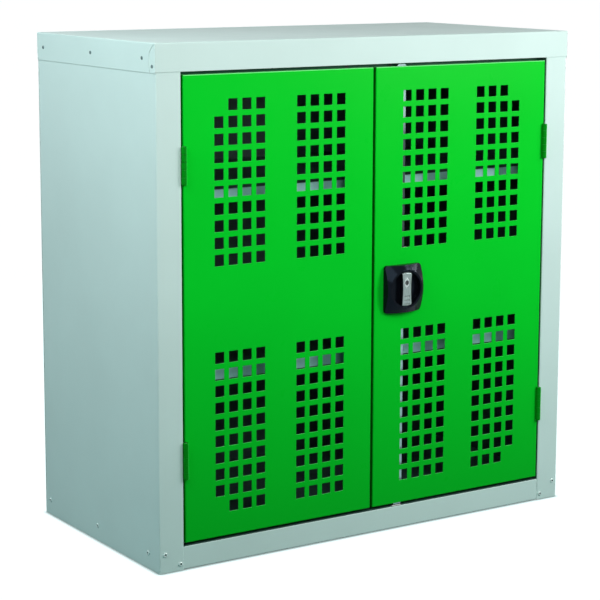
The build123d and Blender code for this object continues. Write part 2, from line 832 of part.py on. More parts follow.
# Magnetic catch behind the left door's meeting edge, hung on the header's stop
with BuildPart() as magnetic_catch:
    stop_rear = stop_y + case_sheet
    stop_foot = header_z - stop_lip
    catch_front = face_y + door_depth + catch_gap
    catch_x = -meeting_gap / 2 - catch_inset - catch_width / 2
    with BuildSketch(Plane.YZ.offset(catch_x)):
        with BuildLine():
            Polyline(
                (catch_front, stop_foot - catch_height),
                (catch_front, stop_foot),
                (stop_rear, stop_foot),
                (stop_rear, stop_foot + stop_lip / 2),
                (catch_front + catch_depth, stop_foot + stop_lip / 2),
                (catch_front + catch_depth, stop_foot - catch_height),
                close=True,
            )
        make_face()
    extrude(amount=catch_width / 2, both=True)
    with BuildSketch(front_plane(catch_front)):
        with Locations((catch_x, stop_foot - catch_height / 2)):
            Rectangle(catch_width - 2 * magnet_margin, catch_height - 2 * magnet_margin)
    extrude(amount=-magnet_face, mode=Mode.SUBTRACT)
finish(magnetic_catch, "magnetic_catch")

with BuildPart() as catch_magnet:
    with BuildSketch(front_plane(catch_front)):
        with Locations((catch_x, stop_foot - catch_height / 2)):
            Rectangle(catch_width - 2 * magnet_margin, catch_height - 2 * magnet_margin)
    extrude(amount=-magnet_face)
finish(catch_magnet, "catch_magnet")

# Rubber buffers on the upper and lower stops
with BuildPart() as door_buffers:
    buffer_x = meeting_gap / 2 + door_lip / 2 + buffer_inset
    for buffer_z in (header_z - stop_lip / 2, rail_height + bottom_gap + door_lip / 2):
        with BuildSketch(front_plane(stop_y)):
            with Locations((-buffer_x, buffer_z), (buffer_x, buffer_z)):
                Circle(buffer_radius)
        extrude(amount=buffer_thickness)
finish(door_buffers, "door_buffers")
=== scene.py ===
import json
import math

import bmesh
import bpy
from mathutils import Matrix, Vector


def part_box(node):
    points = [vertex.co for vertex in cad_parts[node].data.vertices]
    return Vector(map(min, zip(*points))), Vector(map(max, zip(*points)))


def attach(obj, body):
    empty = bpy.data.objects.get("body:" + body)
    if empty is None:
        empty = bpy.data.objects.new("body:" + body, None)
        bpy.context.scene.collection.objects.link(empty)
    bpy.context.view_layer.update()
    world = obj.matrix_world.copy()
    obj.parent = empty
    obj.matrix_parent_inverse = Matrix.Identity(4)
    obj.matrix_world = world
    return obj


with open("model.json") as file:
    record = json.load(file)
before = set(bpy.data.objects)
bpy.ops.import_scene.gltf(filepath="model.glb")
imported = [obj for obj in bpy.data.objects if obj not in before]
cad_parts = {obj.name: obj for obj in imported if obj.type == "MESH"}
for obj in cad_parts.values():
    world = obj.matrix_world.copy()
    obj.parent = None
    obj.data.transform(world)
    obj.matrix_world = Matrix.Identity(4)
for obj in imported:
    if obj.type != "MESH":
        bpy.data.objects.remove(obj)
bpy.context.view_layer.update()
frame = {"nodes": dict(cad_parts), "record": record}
nodes = frame["nodes"]

# Camera, at the photograph's place. Pixel values are for an image 600 pixels on a side, and the lens's
# axis meets it in AXIS_ROW.
IMAGE_SIZE = 600
CAMERA_PLACE = (-2.0536, -3.1041, 1.1079)
CAMERA_YAW = math.radians(33.236)
CAMERA_PITCH = math.radians(-9.149)
CAMERA_ROLL = math.radians(0.176)
FOCAL_PIXELS = 1938.1
AXIS_ROW = 252
SENSOR_WIDTH = 36.0

# Paints, linear
GREY_PAINT = (0.60, 0.768, 0.735)
# Painted highlight on the grey sheet's edges and bends
GREY_EDGE_HIGHLIGHT = (0.92, 1.0, 0.96, 1.0)
# Painted shade inside the case and behind the shelves' edges, with a painted green reflection of the doors
INSIDE_PAINTED_SHADE = (0.055, 0.115, 0.105)
# The header channel in painted shade, with a painted green reflection of the doors
CHANNEL_PAINTED_SHADE = (0.006, 0.085, 0.042)
# The shelves' front edges in a bluer copy of the grey paint: painted light through the door's holes
SHELF_EDGE_PAINTED_LIGHT = (0.42, 0.80, 0.80)
# Painted shade in the painted rivets' hollows, a darker copy of the grey paint
RIVET_HOLLOW_SHADE = (0.24, 0.3072, 0.294)
GREEN_PAINT = (0.001, 0.60, 0.022)
# Painted highlights on the doors' edges and bends and on faces that look up
GREEN_EDGE_HIGHLIGHT = (0.03, 0.95, 0.12, 1.0)
GREEN_TOP_HIGHLIGHT = (0.22, 0.90, 0.30, 1.0)
# The hinges' darker green is painted shade, with painted highlights on edges and faces that look towards
# +x
HINGE_SHADE_GREEN = (0.001, 0.24, 0.008)
HINGE_SIDE_HIGHLIGHT = (0.025, 0.72, 0.08, 1.0)

# Plastics, rubber and metals, linear
BLACK_PLASTIC = (0.004, 0.005, 0.008)
# Blue tint of the black plastic's reflections: a painted sheen colour
BLUISH = (0.45, 0.70, 1.0, 1.0)
NYLON = (0.74, 0.74, 0.70)
CATCH_PLASTIC = (0.62, 0.62, 0.58)
RUBBER = (0.03, 0.03, 0.03)
SATIN_METAL = (0.25, 0.315, 0.305)
POLISHED_METAL = (0.44, 0.52, 0.51)
KEYWAY_METAL = (0.10, 0.115, 0.115)
ZINC = (0.36, 0.40, 0.42)
ROD_STEEL = (0.23, 0.38, 0.38)
# The upper rod in a darker copy of the rod steel: painted shade
UPPER_ROD_SHADE_STEEL = (0.17, 0.25, 0.25)
RIVET_STEEL = (0.10, 0.16, 0.16)

# Where the painted shade begins: behind an outer face, a shelf's front edge and a door's face. It
# reaches to a place beyond the part.
SKIN = 0.0006
SHELF_EDGE_DEPTH = 0.003
RETURN_START = 0.002
BEYOND = 1.0

# Factors of the painted shade on the doors' returns, at the doors' foot and on the upper rod, with
# the heights, or depths under the rod's top, where that shade is full and where it ends
RETURN_SHADE = 0.35
GREEN_FOOT_SHADE = 0.77
GREEN_FADE_HEIGHTS = (0.02, 0.47)
ROD_SHADE = 0.2
ROD_FADE_DEPTHS = (0.135, 0.095)

# Relief of the finishes, in metres
PEEL_DEPTH = 0.00003
HEAD_PEEL_DEPTH = 0.00001
SHEET_WAVE_DEPTH = 0.0002
DOOR_WAVE_DEPTH = 0.0004
SMALL_WAVE_DEPTH = 0.0001
STREAK_DEPTH = 0.00002
POLISHED_STREAK_DEPTH = 0.00001
PALE_GRAIN_DEPTH = 0.00002
LOCK_GRAIN_DEPTH = 0.000003
RUBBER_BLOOM_DEPTH = 0.00008

# Radii of rounded edges, in metres, and how close another face brings painted shade onto satin metal
SHEET_EDGE_RADIUS = 0.0014
DOOR_EDGE_RADIUS = 0.0012
SMALL_EDGE_RADIUS = 0.0008
GRIP_EDGE_RADIUS = 0.0006
PIN_EDGE_RADIUS = 0.0004
FINE_EDGE_RADIUS = 0.0002
CREVICE_SHADE_REACH = 0.002

# Grain of the finishes: the range that most of a noise fills, and scales along x, y and z
NOISE_RANGE = (0.3, 0.7)
UPRIGHT_STREAKS = (1600.0, 1600.0, 110.0)
ROD_STREAKS = (900.0, 900.0, 60.0)
EVEN_GRAIN = (900.0, 900.0, 900.0)

# Cosines between the true and the rounded normal on flat sheet and on a full edge, where the painted
# edge highlight begins and where it is full
EDGE_COSINES = (0.98, 0.80)
BEVEL_SAMPLES = 6
OCCLUSION_SAMPLES = 8

# Floor and sky. The floor's glow rises with the distance from its middle, in metres, and is less
# where the case stands on it, as a painted contact shadow.
FLOOR = (0.05, 0.20, 0.20)
WHITE = (1.0, 1.0, 1.0)
SKY = (0.035, 0.06, 0.06, 1.0)
FLOOR_REACH = 40.0
FLOOR_DROP = 0.0005
GLOW_DISTANCES = (1.2, 3.2)
GLOW_STRENGTHS = (0.97, 1.0)
CONTACT_REACH = 0.009
CONTACT_SHADE = 0.3

# Square lamps: name, place, side, watts and colour. All face one point near the case's middle.
LAMP_TARGET = (0.0, 0.0, 0.5)
LAMPS = (
    ("right_key", (1.1, -1.45, 1.08), 0.55, 14.6, (1.03, 1.0, 0.98)),
    ("front_fill", (-0.3, -1.35, 1.2), 0.8, 7.9, (1.03, 1.0, 0.98)),
    ("left_near", (-1.3, -0.5, 1.45), 0.8, 9.9, (0.96, 1.0, 1.0)),
    ("left_fill", (-1.8, 0.3, 1.75), 1.2, 14.0, (0.87, 1.0, 1.05)),
    ("right_fill", (2.3, 0.3, 0.95), 1.0, 13.0, WHITE),
    ("back_fill", (-0.2, 2.5, 0.95), 1.0, 28.0, WHITE),
)

# Strip lamp that gives the sheen on the lock's foot
LOCK_PLACE = (0.064, -0.24, 0.465)
STRIP_START = (1.145, -1.296, 1.616)
STRIP_END = (1.80, -0.70, 1.08)
STRIP_WIDTH = 0.05
STRIP_POWER = 7.0

# Nodes whose finish isn't the plain one of their slot; the shelves, header channel, upper rod and
# hinges get finishes with painted light and shade
FINISHES = {
    "upper_shelf": "shelf_lit_and_shaded",
    "lower_shelf": "shelf_lit_and_shaded",
    "header_channel": "channel_in_painted_shade",
    "upper_lock_rod": "upper_rod_in_painted_shade",
    "lower_lock_rod": "rod_steel",
    "key_barrel": "polished_metal",
    "key_plug": "keyway_metal",
}
for side in ("left", "right"):
    for level in ("upper", "lower"):
        for leaf in ("door", "frame"):
            FINISHES[f"{side}_{level}_hinge_{leaf}_leaf"] = "hinge_lit_and_shaded"

# Rivets, in metres. Heads are radius and rise. Places run back from the front, in from the outer
# edge, and up from the floor or down from the top.
PAINTED_HEAD = (0.0046, 0.0018)
BARE_HEAD = (0.0034, 0.0012)
RIVET_SIDES = 24
CAP_RIVET_SETBACKS = (0.0468, 0.2391, 0.4316)
CAP_RIVET_DROP = 0.0275
TAB_RIVET_SETBACK = 0.0112
TAB_RIVET_DROP = 0.0402
BASE_RIVET_SETBACKS = (0.042, 0.2369, 0.4351)
BASE_RIVET_HEIGHT = 0.029
FOOT_RIVETS = ((0.0122, 0.0338), (0.0432, 0.0118))
BACK_RIVET_INSET = 0.010
BACK_RIVET_HEIGHTS = (0.06, 0.26, 0.46, 0.66, 0.86)

# Shares of a head's radius and rise, from the rim of its hollow's floor out to its edge
RIVET_PROFILE_SHARES = ((0.40, 0.30), (0.46, 0.95), (0.62, 1.0), (0.90, 0.62), (1.0, 0.0))


def add_node(tree, kind, links=(), **settings):
    """A node of that kind.

    Settings are its properties. Links are pairs of an input's name and its source or value.
    """
    node = tree.nodes.new(kind)
    for key, value in settings.items():
        setattr(node, key, value)
    for socket, source in links:
        if isinstance(source, bpy.types.NodeSocket):
            tree.links.new(source, node.inputs[socket])
        else:
            node.inputs[socket].default_value = source
    return node


def object_coordinates(tree):
    return add_node(tree, "ShaderNodeTexCoord").outputs["Object"]


def stretched(tree, scale):
    """Object coordinates with each axis scaled, for grain that runs one way."""
    links = [("Vector", object_coordinates(tree)), ("Scale", scale)]
    return add_node(tree, "ShaderNodeMapping", links).outputs["Vector"]


def axis_parts(tree, vector):
    """The x, y and z parts of a vector."""
    return add_node(tree, "ShaderNodeSeparateXYZ", [("Vector", vector)]).outputs


def noise(tree, coordinates, scale, detail=2.0, roughness=0.5):
    links = [("Vector", coordinates), ("Scale", scale), ("Detail", detail), ("Roughness", roughness)]
    return add_node(tree, "ShaderNodeTexNoise", links).outputs["Fac"]


def remap(tree, value, before, after):
    """The value with one range stretched to another, and held at that range's ends."""
    links = [("Value", value), ("From Min", before[0]), ("From Max", before[1])]
    links += [("To Min", after[0]), ("To Max", after[1])]
    return add_node(tree, "ShaderNodeMapRange", links).outputs["Result"]


def calculate(tree, operation, first, second):
    return add_node(tree, "ShaderNodeMath", [(0, first), (1, second)], operation=operation).outputs[0]


def calculate_vector(tree, operation, *vectors):
    links = list(enumerate(vectors))
    return add_node(tree, "ShaderNodeVectorMath", links, operation=operation).outputs


def openness(tree, reach):
    """1 where nothing stands within that reach of the surface, less in crevices."""
    links = [("Distance", reach)]
    return add_node(tree, "ShaderNodeAmbientOcclusion", links, samples=OCCLUSION_SAMPLES).outputs["AO"]


def blend_colours(tree, share, low, high):
    """A mix of two colours, whose sockets on the Mix node are inputs 6 and 7 and output 2."""
    node = add_node(tree, "ShaderNodeMix", [(0, share), (6, low), (7, high)], data_type="RGBA")
    return node.outputs[2]


def bump(tree, height, distance, normal=None):
    links = [("Height", height), ("Distance", distance), ("Strength", 1.0)]
    if normal is not None:
        links.append(("Normal", normal))
    return add_node(tree, "ShaderNodeBump", links).outputs["Normal"]


def shade(colour, factor):
    """That colour times a factor, as four numbers."""
    return (*(min(1.0, channel * factor) for channel in colour), 1.0)


def toned(tree, share, colour, low, high):
    """The colour times a factor that goes from low to high as the share goes from 0 to 1."""
    return blend_colours(tree, share, shade(colour, low), shade(colour, high))


def new_material(name, roughness=0.5, metallic=0.0, specular=0.5, tint=None):
    material = bpy.data.materials.new(name)
    material.use_nodes = True
    shader = material.node_tree.nodes["Principled BSDF"]
    shader.inputs["Roughness"].default_value = roughness
    shader.inputs["Metallic"].default_value = metallic
    shader.inputs["Specular IOR Level"].default_value = specular
    if tint is not None:
        shader.inputs["Specular Tint"].default_value = tint
    return material, material.node_tree, shader


def rounded_normal(tree, radius):
    return add_node(tree, "ShaderNodeBevel", [("Radius", radius)], samples=BEVEL_SAMPLES).outputs["Normal"]


def edge_highlighted(tree, colour, other, rounded, lift):
    """The colour, with a share of the other one on edges and bends, where the rounded normal turns away.

    lift is that share on a full edge. The other colour is a painted highlight.
    """
    true_normal = add_node(tree, "ShaderNodeNewGeometry").outputs["True Normal"]
    cosine = calculate_vector(tree, "DOT_PRODUCT", rounded, true_normal)["Value"]
    edge = remap(tree, cosine, EDGE_COSINES, (0.0, 1.0))
    return blend_colours(tree, calculate(tree, "MULTIPLY", edge, lift), colour, other)


def shaded_in_box(tree, colour, other, low, high):
    """The colour, but the other one, a painted shade, inside the box between the corners low and high."""
    middle = (low + high) / 2
    half = (high - low) / 2
    offset = calculate_vector(tree, "SUBTRACT", object_coordinates(tree), middle)["Vector"]
    share = calculate_vector(tree, "DIVIDE", offset, half)["Vector"]
    axes = axis_parts(tree, calculate_vector(tree, "ABSOLUTE", share)["Vector"])
    farthest = calculate(tree, "MAXIMUM", calculate(tree, "MAXIMUM", axes[0], axes[1]), axes[2])
    return blend_colours(tree, calculate(tree, "LESS_THAN", farthest, 1.0), colour, other)


def lit_by_facing(tree, colour, other, axis, start, full):
    """The colour, turning into the other one, a painted highlight, where the surface faces along an axis.

    The axis is 0, 1 or 2 for x, y or z. The other colour starts where the normal's part along it is
    start, and is full at full.
    """
    normal = add_node(tree, "ShaderNodeTexCoord").outputs["Normal"]
    facing = remap(tree, axis_parts(tree, normal)[axis], (start, full), (0.0, 1.0))
    return blend_colours(tree, facing, colour, other)


def shaded_below(tree, colour, other, heights):
    """The colour, or the other one further down: full at the first height, gone at the second."""
    # The other colour is painted shade, darker further down
    height = axis_parts(tree, object_coordinates(tree))[2]
    return blend_colours(tree, remap(tree, height, heights, (1.0, 0.0)), colour, other)


def powder_coat(
    name, colour, roughness, specular, wave_depth, edge_highlight_colour, edge_highlight_share, edge_radius,
    peel_depth=PEEL_DEPTH, inside=None, facing_light=None, downward_shade=None,
):
    """Baked paint on sheet steel: orange peel, slow waves of the sheet and faint mottling.

    Its edges have another colour, a painted highlight, whose share on a full edge is edge_highlight_share.
    inside, facing_light and downward_shade are what shaded_in_box(), lit_by_facing() and shaded_below()
    take: painted shade in a box, painted light on faces that look one way and painted shade further down.
    """
    material, tree, shader = new_material(name, specular=specular)
    place = object_coordinates(tree)
    mottle = noise(tree, place, scale=5.0, detail=4.0, roughness=0.55)
    speck = noise(tree, place, scale=1400.0, detail=1.0)
    peel = noise(tree, place, scale=620.0, roughness=0.45)
    wave = noise(tree, place, scale=6.0, detail=1.0, roughness=0.3)
    haze = noise(tree, place, scale=22.0, detail=3.0)
    coat = toned(tree, remap(tree, mottle, NOISE_RANGE, (0.0, 1.0)), colour, low=0.965, high=1.02)
    # Painted shade further down
    if downward_shade is not None:
        coat = shaded_below(tree, coat, **downward_shade)
    specks = remap(tree, speck, (0.58, 0.75), (0.0, 0.10))
    coat = blend_colours(tree, specks, coat, shade(colour, 0.80))
    rounded = rounded_normal(tree, edge_radius)
    # Painted highlight on edges and bends
    coat = edge_highlighted(tree, coat, edge_highlight_colour, rounded, edge_highlight_share)
    # Painted shade inside a box
    if inside is not None:
        coat = shaded_in_box(tree, coat, **inside)
    # Painted highlight on faces that look one way
    if facing_light is not None:
        coat = lit_by_facing(tree, coat, **facing_light)
    tree.links.new(coat, shader.inputs["Base Color"])
    gloss = remap(tree, haze, NOISE_RANGE, (roughness - 0.03, roughness + 0.04))
    tree.links.new(gloss, shader.inputs["Roughness"])
    waves = bump(tree, wave, wave_depth, rounded)
    tree.links.new(bump(tree, peel, peel_depth, waves), shader.inputs["Normal"])
    return material


def moulded_plastic(name, colour, roughness, specular, grain_scale, grain_depth, tint=None):
    """Moulded plastic with a fine spark-eroded grain, slightly uneven gloss and rounded edges."""
    material, tree, shader = new_material(name, specular=specular, tint=tint)
    place = object_coordinates(tree)
    cloud = noise(tree, place, scale=90.0, detail=3.0)
    haze = noise(tree, place, scale=260.0)
    grain = noise(tree, place, grain_scale)
    body = toned(tree, remap(tree, cloud, NOISE_RANGE, (0.0, 1.0)), colour, low=0.85, high=1.2)
    tree.links.new(body, shader.inputs["Base Color"])
    gloss = remap(tree, haze, NOISE_RANGE, (roughness - 0.05, roughness + 0.06))
    tree.links.new(gloss, shader.inputs["Roughness"])
    rounded = rounded_normal(tree, SMALL_EDGE_RADIUS)
    tree.links.new(bump(tree, grain, grain_depth, rounded), shader.inputs["Normal"])
    return material


def brushed_metal(
    name, colour, roughness, scale, edge_radius, streak_depth=STREAK_DEPTH, crevice_shade_reach=None, downward_shade=None
):
    """Metal with fine streaks along one axis, a mottled tone and a painted highlight on its edges.

    crevice_shade_reach is how close another face brings painted shade onto it. downward_shade is what
    shaded_below() takes.
    """
    material, tree, shader = new_material(name, metallic=1.0)
    streak = noise(tree, stretched(tree, scale), scale=1.0, detail=4.0, roughness=0.6)
    cloud = noise(tree, object_coordinates(tree), scale=120.0)
    metal = toned(tree, remap(tree, streak, NOISE_RANGE, (0.0, 1.0)), colour, low=0.86, high=1.1)
    clouds = remap(tree, cloud, (0.35, 0.7), (0.0, 0.35))
    metal = blend_colours(tree, clouds, metal, shade(colour, 0.75))
    rounded = rounded_normal(tree, edge_radius)
    # Painted highlight on the edges
    metal = edge_highlighted(tree, metal, shade(colour, 1.45), rounded, lift=0.5)
    # Painted shade in crevices
    if crevice_shade_reach is not None:
        crevice_shade = remap(tree, openness(tree, crevice_shade_reach), (0.55, 0.95), (1.0, 0.0))
        metal = blend_colours(tree, crevice_shade, metal, shade(colour, 0.06))
    # Painted shade further down
    if downward_shade is not None:
        metal = shaded_below(tree, metal, **downward_shade)
    tree.links.new(metal, shader.inputs["Base Color"])
    gloss = remap(tree, streak, (0.25, 0.75), (roughness - 0.07, roughness + 0.09))
    tree.links.new(gloss, shader.inputs["Roughness"])
    tree.links.new(bump(tree, streak, streak_depth, rounded), shader.inputs["Normal"])
    return material


def soft_rubber(name, colour):
    """Matt rubber with a dusty bloom."""
    material, tree, shader = new_material(name, specular=0.3)
    bloom = noise(tree, object_coordinates(tree), scale=300.0, detail=3.0)
    dust = remap(tree, bloom, (0.35, 0.75), (0.0, 0.5))
    tree.links.new(toned(tree, dust, colour, low=1.0, high=2.2), shader.inputs["Base Color"])
    tree.links.new(remap(tree, bloom, NOISE_RANGE, (0.7, 0.9)), shader.inputs["Roughness"])
    tree.links.new(bump(tree, bloom, RUBBER_BLOOM_DEPTH), shader.inputs["Normal"])
    return material


def case_paints():
    """Paints of the case, shelves and header channel: painted shade inside and behind a shelf's edge."""
    # Painted shade inside the case and behind a shelf's front edge
    painted_shade_colour = (*INSIDE_PAINTED_SHADE, 1.0)
    wall_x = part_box("right_side_panel")[1].x - SKIN
    case_low = Vector((-wall_x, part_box("bottom_rail")[0].y + SKIN, -BEYOND))
    case_high = Vector((wall_x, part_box("back_panel")[0].y + SKIN / 2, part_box("top_cap")[1].z - SKIN))
    shelf_low = Vector((-BEYOND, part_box("upper_shelf")[0].y + SHELF_EDGE_DEPTH, -BEYOND))
    sheet = dict(roughness=0.42, specular=0.22, wave_depth=SHEET_WAVE_DEPTH)
    sheet_edge_highlight = dict(edge_highlight_colour=GREY_EDGE_HIGHLIGHT, edge_highlight_share=0.6, edge_radius=SHEET_EDGE_RADIUS)
    shade_in_case = dict(other=painted_shade_colour, low=case_low, high=case_high)
    shade_behind_edge = dict(other=painted_shade_colour, low=shelf_low, high=Vector((BEYOND, BEYOND, BEYOND)))
    return [
        powder_coat("grey_paint", GREY_PAINT, **sheet, **sheet_edge_highlight, inside=shade_in_case),
        # Shelves: a front edge in painted light, with painted shade behind it
        powder_coat("shelf_lit_and_shaded", SHELF_EDGE_PAINTED_LIGHT, **sheet, **sheet_edge_highlight, inside=shade_behind_edge),
        # The header channel in painted shade, its edges a little lighter as a painted highlight
        powder_coat(
            "channel_in_painted_shade", CHANNEL_PAINTED_SHADE, roughness=0.45, specular=0.10, wave_depth=SHEET_WAVE_DEPTH,
            edge_highlight_colour=painted_shade_colour, edge_highlight_share=0.3, edge_radius=SMALL_EDGE_RADIUS,
        ),
    ]


def green_paints():
    """Paints of the doors, with painted shade at the foot and on the meeting returns, and of the hinges.
    """
    meeting_edge, door_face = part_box("right_door")[0].xy
    # Painted shade on the doors' returns where they meet
    returns = dict(
        other=shade(GREEN_PAINT, RETURN_SHADE),
        low=Vector((-meeting_edge - SKIN, door_face + RETURN_START, -BEYOND)),
        high=Vector((meeting_edge + SKIN, BEYOND, BEYOND)),
    )
    # Painted shade towards the doors' foot
    foot = dict(other=shade(GREEN_PAINT, GREEN_FOOT_SHADE), heights=GREEN_FADE_HEIGHTS)
    return [
        # Door green: painted highlights on edges and upward faces, painted shade on the returns and foot
        powder_coat(
            "green_paint", GREEN_PAINT, roughness=0.30, specular=0.035, wave_depth=DOOR_WAVE_DEPTH,
            edge_highlight_colour=GREEN_EDGE_HIGHLIGHT, edge_highlight_share=0.7, edge_radius=DOOR_EDGE_RADIUS, inside=returns,
            facing_light=dict(other=GREEN_TOP_HIGHLIGHT, axis=2, start=0.08, full=0.35), downward_shade=foot,
        ),
        # Hinge green in painted shade, with painted highlights on edges and faces that look towards +x
        powder_coat(
            "hinge_lit_and_shaded", HINGE_SHADE_GREEN, roughness=0.34, specular=0.03, wave_depth=SMALL_WAVE_DEPTH,
            edge_highlight_colour=(*GREEN_PAINT, 1.0), edge_highlight_share=0.4, edge_radius=SMALL_EDGE_RADIUS,
            facing_light=dict(other=HINGE_SIDE_HIGHLIGHT, axis=0, start=0.25, full=0.75),
        ),
    ]


def rivet_paints():
    """Paint of the painted rivets' domes, and painted shade in the hollows in them."""
    head = dict(
        wave_depth=SMALL_WAVE_DEPTH, peel_depth=HEAD_PEEL_DEPTH, edge_highlight_colour=GREY_EDGE_HIGHLIGHT, edge_highlight_share=0.0,
        edge_radius=FINE_EDGE_RADIUS,
    )
    return [
        powder_coat("rivet_paint", GREY_PAINT, roughness=0.20, specular=1.0, **head),
        powder_coat("rivet_hollow_in_painted_shade", RIVET_HOLLOW_SHADE, roughness=0.6, specular=0.1, **head),
    ]


def lock_metals():
    """Metals of the grip bar, the key barrel and the key plug, streaked upright."""
    return [
        brushed_metal(
            "satin_metal", SATIN_METAL, roughness=0.30, scale=UPRIGHT_STREAKS,
            edge_radius=GRIP_EDGE_RADIUS, crevice_shade_reach=CREVICE_SHADE_REACH,
        ),
        brushed_metal(
            "polished_metal", POLISHED_METAL, roughness=0.25, scale=UPRIGHT_STREAKS,
            edge_radius=GRIP_EDGE_RADIUS, streak_depth=POLISHED_STREAK_DEPTH,
        ),
        brushed_metal(
            "keyway_metal", KEYWAY_METAL, roughness=0.40, scale=UPRIGHT_STREAKS,
            edge_radius=FINE_EDGE_RADIUS, streak_depth=POLISHED_STREAK_DEPTH,
        ),
    ]


def steels():
    """Zinc-plated steel, the two lock rods' steel and that of the bare rivets."""
    rod_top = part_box("upper_lock_rod")[1].z
    # Painted shade on the upper rod, darker further down
    rod_painted_shade = dict(
        other=shade(UPPER_ROD_SHADE_STEEL, ROD_SHADE), heights=[rod_top - depth for depth in ROD_FADE_DEPTHS]
    )
    rod = dict(roughness=0.50, scale=ROD_STREAKS, edge_radius=FINE_EDGE_RADIUS)
    return [
        brushed_metal("zinc_steel", ZINC, roughness=0.42, scale=ROD_STREAKS, edge_radius=PIN_EDGE_RADIUS),
        brushed_metal("rod_steel", ROD_STEEL, **rod),
        brushed_metal("upper_rod_in_painted_shade", UPPER_ROD_SHADE_STEEL, **rod, downward_shade=rod_painted_shade),
        brushed_metal(
            "rivet_steel", RIVET_STEEL, roughness=0.35, scale=EVEN_GRAIN, edge_radius=FINE_EDGE_RADIUS
        ),
    ]


def soft_materials():
    """The lock's black plastic, the guides' nylon, the catch's plastic and the buffers' rubber."""
    pale = dict(specular=0.4, grain_scale=900.0, grain_depth=PALE_GRAIN_DEPTH)
    return [
        moulded_plastic(
            "black_plastic", BLACK_PLASTIC, roughness=0.12, specular=0.09, grain_scale=1500.0,
            grain_depth=LOCK_GRAIN_DEPTH, tint=BLUISH,
        ),
        moulded_plastic("white_nylon", NYLON, roughness=0.45, **pale),
        moulded_plastic("catch_plastic", CATCH_PLASTIC, roughness=0.5, **pale),
        soft_rubber("buffer_rubber", RUBBER),
    ]


def make_finishes():
    """Every material by its plain name, without the number that Blender adds to a name in use."""
    makers = (case_paints, green_paints, rivet_paints, lock_metals, steels, soft_materials)
    return {material.name.partition(".")[0]: material for maker in makers for material in maker()}


def paint_nodes(materials):
    """Give each carried-over node its own finish, or else that of its slot in the record."""
    for row in frame["record"]["subparts"]:
        finish = FINISHES.get(row["node"], row["material_slot"])
        mesh = nodes[row["node"]].data
        mesh.materials.clear()
        mesh.materials.append(materials[finish])
        for polygon in mesh.polygons:
            polygon.material_index = 0


def add_object(name, mesh_builder, materials):
    """A new mesh object whose faces are built by mesh_builder."""
    mesh = bpy.data.meshes.new(name)
    builder = bmesh.new()
    mesh_builder(builder)
    builder.normal_update()
    builder.to_mesh(mesh)
    builder.free()
    for material in materials:
        mesh.materials.append(material)
    piece = bpy.data.objects.new(name, mesh)
    bpy.context.scene.collection.objects.link(piece)
    return piece


def rivet(builder, centre, normal, radius, rise):
    """A blind rivet's domed head with the hollow of its mandrel, on a wall with that outward normal.

    The dome has the piece's first material and the hollow its second.
    """
    turn = Vector((0, 0, 1)).rotation_difference(Vector(normal)).to_matrix()
    rings = []
    for radius_share, rise_share in RIVET_PROFILE_SHARES:
        ring = []
        for step in range(RIVET_SIDES):
            angle = 2 * math.pi * step / RIVET_SIDES
            local = Vector((
                radius * radius_share * math.cos(angle),
                radius * radius_share * math.sin(angle),
                rise * rise_share,
            ))
            ring.append(builder.verts.new(Vector(centre) + turn @ local))
        rings.append(ring)
    hollow_floor = builder.faces.new(rings[0])
    hollow_floor.material_index = 1
    for level, (inner, outer) in enumerate(zip(rings, rings[1:])):
        for step in range(RIVET_SIDES):
            after = (step + 1) % RIVET_SIDES
            face = builder.faces.new((inner[step], outer[step], outer[after], inner[after]))
            face.smooth = level > 0
            face.material_index = 1 if level == 0 else 0
    builder.faces.new(rings[-1][::-1])


def rivet_row(name, places, normal, heads, size):
    """A row of rivets on one wall. heads are the finishes of dome and hollow, size is radius and rise."""
    def build(builder):
        for place in places:
            rivet(builder, place, normal, *size)
        bmesh.ops.recalc_face_normals(builder, faces=builder.faces)

    piece = add_object(name, build, heads)
    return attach(piece, "root")


def add_rivets(materials):
    painted = [materials["rivet_paint"], materials["rivet_hollow_in_painted_shade"]]
    bare = [materials["rivet_steel"], materials["rivet_steel"]]
    cap_low, cap_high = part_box("top_cap")
    wall_low, wall_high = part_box("right_side_panel")
    back_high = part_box("back_panel")[1].y
    cap_rivet_z = cap_high.z - CAP_RIVET_DROP
    for side_name, side in (("left", -1), ("right", 1)):
        outward = (side, 0, 0)
        cap_x = side * cap_high.x
        wall_x = side * wall_high.x
        back_x = side * (wall_high.x - BACK_RIVET_INSET)
        cap_places = [(cap_x, cap_low.y + setback, cap_rivet_z) for setback in CAP_RIVET_SETBACKS]
        cap_places.append((cap_x, cap_low.y + TAB_RIVET_SETBACK, cap_high.z - TAB_RIVET_DROP))
        rivet_row(f"{side_name}_cap_rivets", cap_places, outward, bare, BARE_HEAD)
        base_places = [(wall_x, cap_low.y + setback, BASE_RIVET_HEIGHT) for setback in BASE_RIVET_SETBACKS]
        rivet_row(f"{side_name}_base_rivets", base_places, outward, painted, PAINTED_HEAD)
        foot_places = [(side * (cap_high.x - inset), wall_low.y, height) for inset, height in FOOT_RIVETS]
        rivet_row(f"{side_name}_foot_rivets", foot_places, (0, -1, 0), painted, PAINTED_HEAD)
        back_places = [(back_x, back_high, height) for height in BACK_RIVET_HEIGHTS]
        rivet_row(f"{side_name}_back_rivets", back_places, (0, 1, 0), painted, PAINTED_HEAD)


def seen_share(tree):
    """1 for the rays by which the camera, gloss and glass see a surface, 0 for those that light it."""
    path = add_node(tree, "ShaderNodeLightPath").outputs
    seen = calculate(tree, "MAXIMUM", path["Is Camera Ray"], path["Is Glossy Ray"])
    return calculate(tree, "MAXIMUM", seen, path["Is Transmission Ray"])


